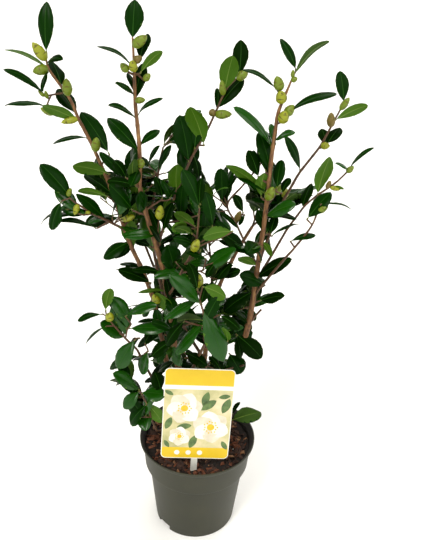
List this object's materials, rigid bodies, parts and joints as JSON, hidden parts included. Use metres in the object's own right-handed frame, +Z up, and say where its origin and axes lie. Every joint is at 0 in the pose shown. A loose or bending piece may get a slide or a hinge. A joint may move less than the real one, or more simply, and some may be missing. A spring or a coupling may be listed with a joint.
{
  "type": "potted camellia shrub",
  "caption": "Young camellia shrub with upright leafy stems, glossy leaves and flower buds, standing in its round plastic nursery pot with a plant label.",
  "frame": {"origin": "centre of the pot's flat underside, on the surface the pot stands on", "axes": "+Z up along the pot's axis; +X to the plant's right as seen from the label's side; +Y to the back, away from the label"},
  "size_m": [0.386, 0.262, 0.658],
  "materials": {
    "pot_plastic": "matte, dark olive grey moulded plastic",
    "soil": "rough, moist bark potting mix",
    "label_card": "satin printed card",
    "bark": "dull, finely ridged tan bark",
    "young_bark": "smooth reddish-tan young bark",
    "leaves": "glossy dark green upper face, matte light green underside"
  },
  "bodies": {
    "root": {"pot": "pot_plastic", "potting_soil": "soil", "plant_label": "label_card", "back_stem": "bark", "centre_stem": "bark", "left_stem": "bark", "right_stem": "bark", "back_bough": "young_bark", "back_left_bough": "young_bark", "centre_back_bough": "young_bark", "centre_bough": "young_bark", "centre_high_bough": "young_bark", "centre_right_bough": "young_bark", "far_right_bough": "young_bark", "front_bough": "young_bark", "left_rim_bough": "young_bark", "left_side_bough": "young_bark", "low_left_bough": "young_bark", "right_low_bough": "young_bark", "right_rim_bough": "young_bark", "right_short_bough": "young_bark", "right_side_bough": "young_bark", "right_twig_bough": "young_bark", "back_centre_leaves": "leaves", "back_left_leaves": "leaves", "back_low_leaves": "leaves", "back_low_left_leaves": "leaves", "back_low_right_leaves": "leaves", "back_right_leaves": "leaves", "centre_back_leaves": "leaves", "centre_high_leaves": "leaves", "centre_left_tip_leaves": "leaves", "centre_left_upper_leaves": "leaves", "centre_right_leaves": "leaves", "centre_tip_leaves": "leaves", "centre_upper_leaves": "leaves", "far_right_leaves": "leaves", "far_right_tip_leaves": "leaves", "front_leaves": "leaves", "front_low_leaves": "leaves", "left_inner_leaves": "leaves", "left_lower_leaves": "leaves", "left_rim_leaves": "leaves", "left_side_leaves": "leaves", "left_tip_leaves": "leaves", "left_upper_leaves": "leaves", "low_left_leaves": "leaves", "right_inner_leaves": "leaves", "right_low_leaves": "leaves", "right_rim_leaves": "leaves", "right_short_leaves": "leaves", "right_side_leaves": "leaves", "right_tip_leaves": "leaves", "right_upper_leaves": "leaves"}
  },
  "joints": []
}
